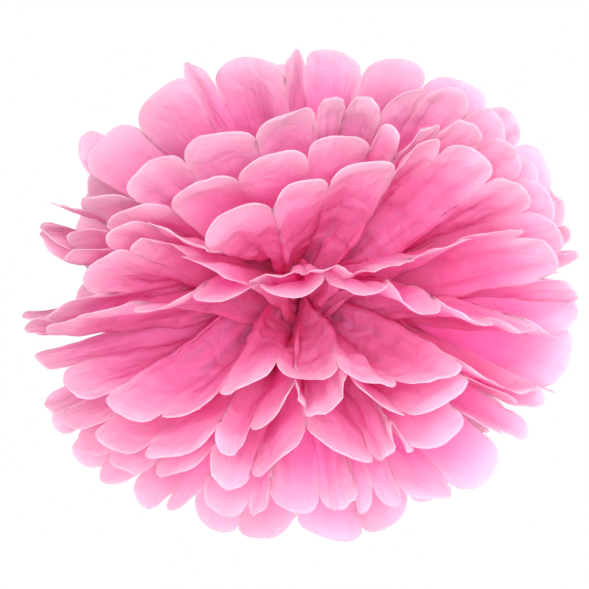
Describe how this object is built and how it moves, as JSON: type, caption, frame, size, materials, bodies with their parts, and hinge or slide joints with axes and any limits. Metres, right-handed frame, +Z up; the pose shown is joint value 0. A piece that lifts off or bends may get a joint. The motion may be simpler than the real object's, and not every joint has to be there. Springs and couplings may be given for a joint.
{
  "type": "tissue paper pom pom",
  "caption": "Round hanging decoration of pleated tissue paper sheets tied at the waist with wire and pulled open into a ball of round petals.",
  "frame": {"origin": "middle of the tie, where the wire holds the stack of sheets, at the centre of the ball", "axes": "+Z up, as the ball hangs; X across the pleats, so that the folds spread from side to side; the petals shown open towards -Y"},
  "size_m": [0.2386, 0.2281, 0.2258],
  "materials": {
    "tissue": "soft dyed tissue paper, thin enough for light to come through, with fine creases",
    "wire": "drawn florist wire, dull"
  },
  "bodies": {
    "root": {"tissue_sheet_01": "tissue", "tissue_sheet_02": "tissue", "tissue_sheet_03": "tissue", "tissue_sheet_04": "tissue", "tissue_sheet_05": "tissue", "tissue_sheet_06": "tissue", "tissue_sheet_07": "tissue", "tissue_sheet_08": "tissue", "tissue_sheet_09": "tissue", "tissue_sheet_10": "tissue", "tie_wire": "wire"}
  },
  "joints": []
}
